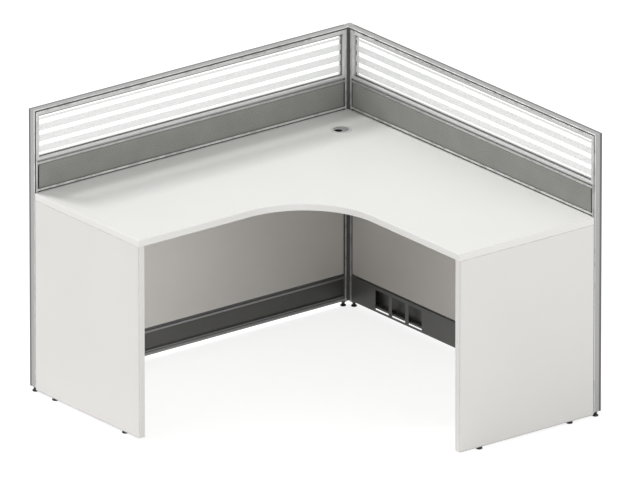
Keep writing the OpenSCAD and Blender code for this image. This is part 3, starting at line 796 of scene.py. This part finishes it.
# %% Rails
CORE_IN, STRIP_IN = 20.5 * MM, 14.6 * MM
CORE, HOLLOW, WALL = (5, 27), (7, 25), 2


def other_face(section):
    """A section (across, up) seen from the outer face: across becomes thickness - across."""
    return section * [-1, 1] + [THICK, 0]


def flush(a, b):
    """The faces of a strip that lie in the screen's inner or outer plane."""
    return (a < 1 * MM) | (a > 31 * MM)


def sunk(a, b):
    """The bottom of a shadow groove, three millimetres in, which gets a painted shade."""
    return (a > 2.5 * MM) & (a < 29.5 * MM)


def flush_strip(low, high):
    """The section of a strip five millimetres deep between two heights."""
    return strip(0, 5, low, high, 0.8)


def rail(side, name, low, high, section, outer_only=False, shade=1.0, flush_highlight=1.0, section_shade=0.0):
    """A hollow core from low to high, with a section on the inner and the outer face. Shade is a
    painted shade on the core; the next two are a painted highlight on the section's flush faces
    and a painted shade on all of it."""
    along = from_face(side, "inner")
    shells = [carry([strip(*CORE, low, high, 0.6), strip(*HOLLOW, low + WALL, high - WALL, 0.4)],
                    CORE_IN, LENGTH - CORE_IN, along, None, lambda a, b: shade)]
    shells += [carry([face], STRIP_IN, LENGTH - STRIP_IN, along,
                     lambda a, b: flush_highlight * flush(a, b),
                     lambda a, b: np.maximum(sunk(a, b), section_shade))
               for face in ([] if outer_only else [section]) + [other_face(section)]]
    make_piece(f"{side}_{name}_profile", shells, aluminium[RUN[side]], [f"{side}_{name}"])


skirt_profile = profile([(0, 23.5), (5, 23.5), (5, 42), (0, 42), (0, 38), (3, 38), (3, 34.5),
                         (0, 34.5)], [.8, .3, .3, .8, .8, .3, .3, .8])
for side in SIDES:
    flat_cover = side == "right"
    # Under the desk the beam and the bottom rail get a painted shade and no painted highlight.
    rail(side, "mid_rail", 844, 875.5, flush_strip(853.5, 862), shade=0.1, flush_highlight=0.35)
    rail(side, "desk_rail", 670, 771, flush_strip(754, 761.5))
    rail(side, "raceway_beam", 105, 136, flush_strip(109, 117), flat_cover, flush_highlight=0.0, section_shade=0.35)
    rail(side, "bottom_rail", 36, 44, skirt_profile, flat_cover, flush_highlight=0.0, section_shade=0.4)
print("rails made")

# %% [markdown]
# The glass sits in an aluminium lining that wraps round the opening, bedded in black rubber on
# both sides, wider along the top and darker outside. The lining, the rubber and the pane are
# closed surfaces, and the film's bands are thin sheets on the inner side of the pane.

# %% Glass, lining, gaskets and film
lining = profile([(14.5, 0), (22, 0), (22, 32), (14.5, 32), (14.5, 27), (20.5, 27), (20.5, 5),
                  (14.5, 5)], [.5, .9, .9, .5, .3, .3, .3, .3])
gasket_sections = [strip(22, 23.8, 11, 13.5, 0.7), strip(22, 23.8, 18.5, 21, 0.7)]
GLASS_LOW, GLASS_HIGH, GLASS_IN = 877.3 * MM, 1036.7 * MM, 22.3 * MM
PANE_FACES, FILM_FACES, FILM_ENDS = (13.5 * MM, 18.5 * MM), (13.22 * MM, 13.48 * MM), (25, 1375)
BANDS = [(892.5, 916.5), (932.5, 956.5), (972.5, 996.5), (1014, 1022)]
GASKET_TOP = 6 * MM

for side in SIDES:
    def upright_board(a, b, level):
        """A place a along the screen and b up, at a level across it."""
        return on_screen(side, a, level, b)

    make_piece(f"{side}_glass_lining", [round_pane(lining, side)], bright_aluminium,
               [f"{side}_glass_frame"])
    pane = rounded([(GLASS_IN, GLASS_LOW), (LENGTH - GLASS_IN, GLASS_LOW),
                    (LENGTH - GLASS_IN, GLASS_HIGH), (GLASS_IN, GLASS_HIGH)], 1.5 * MM)
    make_piece(f"{side}_glass_sheet", [board(pane, *PANE_FACES, 0.5 * MM, upright_board)],
               clear_glass, [f"{side}_glass_pane"])
    make_piece(f"{side}_film_bands", [
        board(strip(*FILM_ENDS, low, high, 0.5), *FILM_FACES, 0.05 * MM, upright_board)
        for low, high in BANDS], frosted, [f"{side}_frosted_bands"])
make_piece("gasket_strips", [round_pane(section, side, GASKET_TOP, outer) for side in SIDES
                             for outer, section in enumerate(gasket_sections)],
           rubber, ["glass_gaskets"])
print("glass in its lining, with", len(BANDS), "bands a side")

# %% [markdown]
# The tiles hang between the rails. A fabric tile is a board wrapped in cloth, so its edges are
# fuller and softer than those of the laminate tile below the desk.

# %% Fabric tiles and laminate tiles
TILE_ENDS, TILE_DEPTH, CLOTH_FACE = (22.2, 1377.8), 5 * MM, 0.1 * MM
FABRIC_UP, LAMINATE_UP = (763, 852), (128, 748.5)
for side in SIDES:
    for face in ("inner", "outer"):
        place = from_face(side, face)

        def tile_place(a, b, level):
            """A place a along the screen and b up, at a level in from its face."""
            return place(a, level, b)

        make_piece(f"{side}_{face}_fabric_covered_tile", [
            board(strip(*TILE_ENDS, *FABRIC_UP, 2.5), CLOTH_FACE, TILE_DEPTH, 1.8 * MM,
                  tile_place, steps=5)],
            fabric, [f"{side}_{face}_fabric_tile"])
        make_piece(f"{side}_{face}_laminate_tile", [
            board(strip(*TILE_ENDS, *LAMINATE_UP, 1.5), 0, TILE_DEPTH, 0.8 * MM, tile_place)],
            warm_tile, [f"{side}_{face}_lower_tile"])
print("eight tiles made")

# %% [markdown]
# Below the tiles the raceway is closed by covers that clip on. Three are narrow and set back
# under the beam. The right inner one is flat and full height, with three square openings for
# sockets, and all of them ride on their own bodies, because they pull off.

# %% Raceway covers
SHEET = 1.2 * MM
set_back_path = profile([(15, 44.5), (7, 44.5), (7, 104.5), (15, 104.5)], [0, 1.8, 1.8, 0])
overlay_path = profile([(5, 24), (0, 24), (0, 33), (0, 108), (0, 121), (5, 121)],
                       [0, 1.8, 0, 0, 1.8, 0])
SOCKETS, SOCKET_UP = [(979, 1054), (1074, 1149), (1169, 1244)], (33, 108)
FLAT_ENDS, SET_BACK_ENDS = (27, 1384), {"inner": (27, 1379), "outer": (21, 1379)}
for side in SIDES:
    for face in ("inner", "outer"):
        place = from_face(side, face)
        if (side, face) == ("right", "inner"):
            lines = np.sort([*FLAT_ENDS, *np.ravel(SOCKETS)]) * MM
            shell = folded_sheet(overlay_path, lines, SHEET, place,
                                 [np.array([*socket, *SOCKET_UP]) * MM for socket in SOCKETS])
            coat = flat_charcoal
        else:
            shell = folded_sheet(set_back_path, np.array(SET_BACK_ENDS[face]) * MM, SHEET, place)
            coat = charcoal
        cover = f"{side}_{face}_raceway_cover"
        make_piece(f"{cover}_sheet", [shell], coat, [cover], cover)
print("covers made")

# %% [markdown]
# The worktop is one board with two wings and a curved inner edge. Its outline is two straight
# wings joined by an arc of 300 mm, cut by the round hole of the cable grommet, and its edging is
# rounded to 1.6 mm. The gables are plain boards with a slightly sharper edging.

# %% Worktop and gables
DESK_BACK, DESK_FRONT, ARC = 682 * MM, 82 * MM, 300 * MM
DESK_LOW, DESK_TOP = 725 * MM, 750 * MM
arc_at = DESK_FRONT - ARC
inner_arc = spun((arc_at, arc_at), ARC, 0, np.linspace(0, math.pi / 2, 41))[:, :2]
front = rounded(np.vstack([inner_arc, [(-HALF, DESK_FRONT), (-HALF, DESK_BACK),
                                       (DESK_BACK, DESK_BACK), (DESK_BACK, -HALF),
                                       (DESK_FRONT, -HALF)]]),
                np.array([0.0] * len(inner_arc) + [2.5, 2.5, 1, 2.5, 2.5]) * MM)
GROMMET, SLEEVE_R = (528 * MM, 528 * MM), 30.5 * MM
GABLE, GABLE_ACROSS, GABLE_UP = 25 * MM, (82, 682), (10, 725)
sleeve_hole = spun(GROMMET, SLEEVE_R, 0, circle(96))[:, :2]
make_piece("worktop_board", [board(front, DESK_LOW, DESK_TOP, 1.6 * MM, in_plan,
                                   [sleeve_hole], steps=5)], white_top, ["worktop"])

for side in SIDES:
    def gable_place(a, b, level):
        """A place a across the wing and b up, at a level along it."""
        return on_wing(side, level, a, b)

    make_piece(f"{side}_gable_board", [
        board(strip(*GABLE_ACROSS, *GABLE_UP, 1.5), -HALF, -HALF + GABLE, 1.2 * MM, gable_place)],
        white_side, [f"{side}_gable"])
print("worktop outline points", len(front))

# %% [markdown]
# The cable grommet is a sleeve through the worktop with a flat collar, and a cap that turns in
# it. The cap is a disc with a round notch open to its rim, so its outline is a long arc, two short
# lines and the notch's half circle.

# %% Cable grommet
ring_profile = profile([(24.5, 725), (30, 725), (30, 750), (37.5, 750), (36.6, 752.5),
                        (27.5, 752.5), (27.5, 749), (24.5, 749)],
                       [.5, .5, .2, .3, .9, .7, .3, .3])
# Inside the sleeve, below the collar's top, the collar gets a painted shade.
make_piece("grommet_collar", [turned(ring_profile, GROMMET, closed=True, sides=96,
                                     recess=lambda r, z: (r < SLEEVE_R) & (z < 752 * MM))],
           ring_plastic, ["grommet_ring"])
CAP_R, NOTCH_R, NOTCH_OUT, CAP_UP = 27.1 * MM, 14 * MM, 11.5 * MM, (749.3 * MM, 751 * MM)
reach = math.pi - math.asin(NOTCH_R / CAP_R)
notched_disc = np.vstack([
    spun((0, 0), CAP_R, 0, np.linspace(-reach, reach, 81)),
    spun((-NOTCH_OUT, 0), NOTCH_R, 0, np.linspace(math.pi / 2, -math.pi / 2, 41))])[:, :2]
make_piece("grommet_turning_cap", [board(notched_disc + GROMMET, *CAP_UP, 0.5 * MM, in_plan)],
           cap_plastic, ["grommet_cap"], "grommet_cap")
print("cap outline points", len(notched_disc))

# %% [markdown]
# Each screen stands on two levelling feet: a moulded pad, a threaded stem that screws into the
# upright, and a hexagonal collar for the spanner. The thread is a real helix, whose radius
# depends on the height minus the turn, so it winds the right way on both screens.

# %% Levelling feet
PITCH, STEM_R, THREAD_DEPTH, STEM_UP = 1.25 * MM, 4 * MM, 0.6 * MM, (2.6 * MM, 44 * MM)
COLLAR_FLATS, COLLAR_UP, FOOT_IN = 13 * MM, (11.7 * MM, 18.7 * MM), 11.75 * MM
pad_profile = profile([(0, 0), (11, 0), (11, 3.5), (6.5, 8), (4.05, 8), (4.05, 2.5), (0, 2.5)],
                      [0, .9, 1.2, 1.0, .3, .2, 0])


def threaded_stem(centre, low, high, sides=40, rows_a_turn=8):
    """r = R - depth * |2 frac(z / pitch - t / 2 pi) - 1|, faded to the core at both ends."""
    level = np.linspace(low, high, int((high - low) / PITCH * rows_a_turn) + 1)[:, None]
    angle = circle(sides)[None]
    wave = np.abs(2 * np.mod(level / PITCH - angle / (2 * math.pi), 1) - 1)
    fade = np.clip(np.minimum(level - low, high - level) / PITCH, 0, 1)
    points = spun(centre, STEM_R - THREAD_DEPTH * (1 - fade * (1 - wave)), level, angle)
    total = len(points)
    faces = grid(len(level), sides) + [list(range(sides)), list(range(total - sides, total))]
    return points, faces, np.zeros(total), np.zeros(total)


def hexagon(across, centre):
    """The outline of a hexagon by its distance across flats, with its corners just broken."""
    radius = across / 2 / math.cos(math.pi / 6)
    return rounded(spun(centre, radius, 0, circle(6))[:, :2], 0.5 * MM)


for side in SIDES:
    for end, along in (("end", FOOT_IN), ("corner", LENGTH - FOOT_IN)):
        centre = on_screen(side, along, THICK / 2, 0)[:2]
        pad, stem = f"{side}_{end}_foot_pad", f"{side}_{end}_foot_stem"
        make_piece(f"{pad}_moulding", [turned(pad_profile, centre)], black_gloss, [pad], pad)
        make_piece(f"{stem}_thread", [
            threaded_stem(centre, *STEM_UP),
            board(hexagon(COLLAR_FLATS, centre), *COLLAR_UP, 0.7 * MM, in_plan)],
            black_steel, [stem], stem)
print("four screen feet made")

# %% [markdown]
# The gables stand on one-piece glides: a round pad with a tapered neck and a stem that screws
# into the board. A turned profile gives all of it, and the board's edge is just above the neck.

# %% Glides under the gables
glide_profile = profile([(0, 0), (12, 0), (12, 4), (7, 9.7), (4, 9.7), (4, 38), (0, 38)],
                        [0, 1.2, 1.2, .5, .2, .6, 0])
for side in SIDES:
    for which, across in (("front", 180 * MM), ("back", 584 * MM)):
        glide = f"{side}_{which}_glide"
        centre = on_wing(side, -HALF + GABLE / 2, across, 0)[:2]
        make_piece(f"{glide}_moulding", [turned(glide_profile, centre)], black_gloss, [glide],
                   glide)
print("four glides made")

# %% [markdown]
# Brackets and screws under the worktop are seen only from low down. Their measured shapes are
# right already, so they are copied and their edges softly broken. The threaded inserts stay out
# of sight inside the uprights and gables, and get a plated finish on the measured shape itself.

# %% Brackets, screws and inserts
softened("worktop_bracket_plates", "worktop_brackets", bracket_steel, 0.5 * MM)
softened("gable_bracket_plates", "gable_brackets", bracket_steel, 0.5 * MM)
softened("bracket_screw_heads", "bracket_screws", zinc, 0.3 * MM)
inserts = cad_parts["foot_inserts"]
inserts.data.materials.clear()
inserts.data.materials.append(zinc)
print("pieces made", len(made))

# %% [markdown]
# The photograph is a parallel view, drawn as if from very far away. A long lens from far off
# comes within two pixels of it, and other views can still step back to see the whole object. The
# distance and angles come from matching the object's corners.

# %% Camera
LENS, SENSOR, DISTANCE, NEAR, FAR = 1250, 36, 77.593, 1, 200
AZIMUTH, ELEVATION = math.radians(-37.93), math.radians(20.613)
AIM_RIGHT, AIM_UP = 0.00866, 0.5732
back = Vector((math.sin(AZIMUTH) * math.cos(ELEVATION), -math.cos(AZIMUTH) * math.cos(ELEVATION),
               math.sin(ELEVATION)))
right = Vector((math.cos(AZIMUTH), math.sin(AZIMUTH), 0))
camera = place_object("camera", bpy.data.cameras.new("camera"))
camera.data.lens, camera.data.sensor_width = LENS, SENSOR
camera.data.clip_start, camera.data.clip_end = NEAR, FAR
camera.location = right * AIM_RIGHT + back.cross(right) * AIM_UP + back * DISTANCE
camera.rotation_mode = "QUATERNION"
camera.rotation_quaternion = (-back).to_track_quat("-Z", "Y")
bpy.context.scene.camera = camera
print("camera at", [round(v, 2) for v in camera.location])

# %% [markdown]
# Studio light is soft and plain: an even pale sky, a broad lamp high up behind the left screen,
# whose soft shadow lies along it on the worktop, and two very wide low ones that cross. Each of
# them shines past one screen onto the other, reaches in under the desk and leaves the corner
# darkest. The background is white to the camera, in mirrors and through glass, while the light on
# the object stays at the level where a colour looks as it is written.

# %% Light and floor
SKY = 0.5
LAMPS = {"high lamp": (1.5, 16, (0.24, -0.7, -1)),
         "low right lamp": (1.15, 50, (-0.08, 1, -0.12)),
         "low left lamp": (0.74, 50, (1, -0.1, -0.12))}
world = bpy.data.worlds.new("studio")
bpy.context.scene.world = world
world.use_nodes = True
tree = world.node_tree


def shown_directly(tree):
    """One where the camera looks straight, in a mirror or through glass, before any matt bounce,
    so that the white background doesn't light the object."""
    path = tree.nodes.new("ShaderNodeLightPath").outputs
    direct = math_node(tree, "LESS_THAN", path["Diffuse Depth"], 0.5)
    seen = math_node(tree, "MAXIMUM", math_node(tree, "MAXIMUM", path["Is Camera Ray"],
                                                path["Is Glossy Ray"]),
                     path["Is Transmission Ray"])
    return math_node(tree, "MULTIPLY", seen, direct)


seen = shown_directly(tree)
level = math_node(tree, "ADD", math_node(tree, "MULTIPLY", seen, 1 - SKY), SKY)
tree.nodes["Background"].inputs["Color"].default_value = (1, 1, 1, 1)
tree.links.new(level, tree.nodes["Background"].inputs["Strength"])

for name, (strength, width, direction) in LAMPS.items():
    lamp = place_object(name, bpy.data.lights.new(name, "SUN"))
    lamp.data.energy, lamp.data.angle = strength, math.radians(width)
    lamp.rotation_mode = "QUATERNION"
    lamp.rotation_quaternion = Vector(direction).to_track_quat("-Z", "Y")

FLOOR, FLOOR_BOUNCE, FLOOR_GLOW, GLOW_SHARE = 20.0, 0.83, 1.44, 0.56
floor_mesh = bpy.data.meshes.new("studio floor")
floor_mesh.from_pydata([(-FLOOR, -FLOOR, 0), (FLOOR, -FLOOR, 0), (FLOOR, FLOOR, 0),
                        (-FLOOR, FLOOR, 0)], [], [(0, 1, 2, 3)])
floor = place_object("studio_floor", floor_mesh)
paper, tree, glossy_shader, where = new_material("studio paper")
tree.nodes.remove(glossy_shader)
matt = add(tree, "ShaderNodeBsdfDiffuse",
           {"Color": varied(tree, (0.95, 0.95, 0.95, 1), where, 0.6, 0.004)})
bounce = add(tree, "ShaderNodeBsdfDiffuse", {"Color": (*[FLOOR_BOUNCE] * 3, 1)})
glow = add(tree, "ShaderNodeEmission", {"Color": (1, 1, 1, 1), "Strength": FLOOR_GLOW})
shown = add(tree, "ShaderNodeMixShader", {0: GLOW_SHARE, 1: matt.outputs[0], 2: glow.outputs[0]})
both = add(tree, "ShaderNodeMixShader", {0: shown_directly(tree), 1: bounce.outputs[0],
                                         2: shown.outputs[0]})
tree.links.new(both.outputs[0], tree.nodes["Material Output"].inputs[0])
floor_mesh.materials.append(paper)
bpy.context.scene.view_settings.view_transform = "Standard"
print("light and floor ready")
